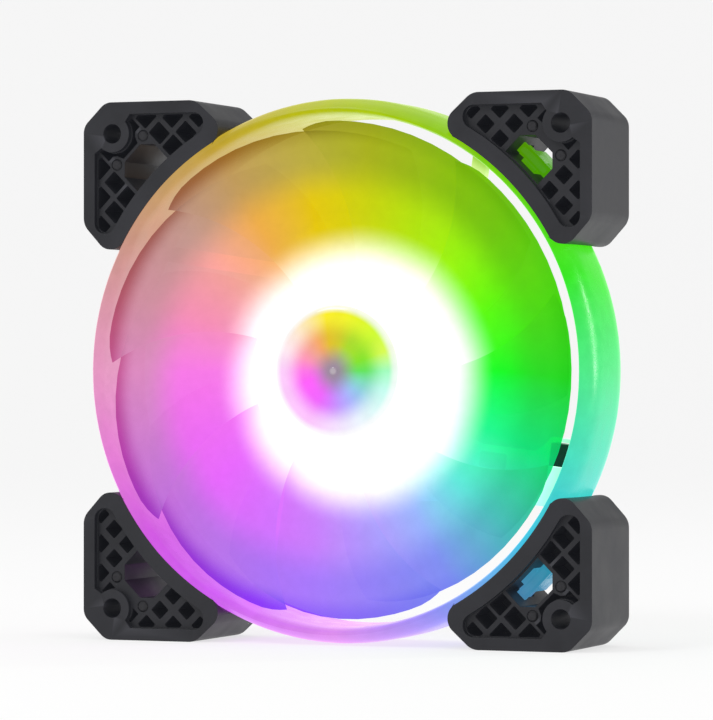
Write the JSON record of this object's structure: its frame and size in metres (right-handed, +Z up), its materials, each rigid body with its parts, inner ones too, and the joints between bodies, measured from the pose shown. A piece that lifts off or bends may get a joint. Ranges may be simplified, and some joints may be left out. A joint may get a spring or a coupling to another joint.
{
  "type": "case fan",
  "caption": "Round-framed computer case fan with a lit translucent rotor, glowing frosted ring, swept struts and black rubber corner pads with screw holes.",
  "frame": {"origin": "centre of the bounding box: on the fan's axis, half way through its depth", "axes": "+Y along the axis from the intake face to the strut side, +X right of the intake face, +Z up"},
  "size_m": [0.119, 0.025, 0.119],
  "materials": {
    "frosted_frame": "frosted light-guide plastic, lit from inside in a rainbow of colours",
    "frosted_blade": "frosted translucent plastic, lit from the hub in a rainbow of colours",
    "hub_dome": "gloss",
    "pad": "satin black rubber",
    "pin": "satin",
    "steel": "satin",
    "ferrite": "matte",
    "seal": "matte",
    "bronze": "matte sintered",
    "brass": "satin",
    "nylon": "satin",
    "copper": "enamelled winding",
    "board": "satin white solder mask",
    "light": "moulded lens",
    "chip": "matte",
    "can": "satin",
    "diffuser": "frosted white",
    "wire": "matte sleeve",
    "black_plastic": "satin",
    "label": "satin film, blank"
  },
  "bodies": {
    "frame": {"frame": "frosted_frame", "oil_seal": "seal", "thrust_pad": "seal", "bearing_sleeve": "bronze", "bearing_tube": "brass", "stator_core": "steel", "insulator_front": "nylon", "insulator_rear": "nylon", "circuit_board": "board", "hall_sensor": "chip", "driver_chip": "chip", "capacitor": "can", "diffuser_ring": "diffuser", "lead_wires": "wire", "wire_channel_cover": "black_plastic", "cable_outlet": "black_plastic", "back_label": "label", "corner_pad_upper_right": "pad", "corner_pad_upper_left": "pad", "corner_pad_lower_left": "pad", "corner_pad_lower_right": "pad", "pad_pin_1": "pin", "led_1": "light", "pad_pin_2": "pin", "led_2": "light", "pad_pin_3": "pin", "led_3": "light", "pad_pin_4": "pin", "led_4": "light", "pad_pin_5": "pin", "led_5": "light", "pad_pin_6": "pin", "led_6": "light", "pad_pin_7": "pin", "led_7": "light", "pad_pin_8": "pin", "led_8": "light", "coil_1": "copper", "coil_2": "copper", "coil_3": "copper", "coil_4": "copper"},
    "rotor": {"impeller": "frosted_blade", "hub_dome": "hub_dome", "rotor_yoke": "steel", "magnet_ring": "ferrite", "shaft": "steel", "retaining_clip": "steel"}
  },
  "joints": [
    {"name": "rotor_spin", "type": "hinge", "parent": "frame", "child": "rotor", "pos_m": [0, 0, 0], "axis": [0, 1, 0], "continuous": true}
  ]
}
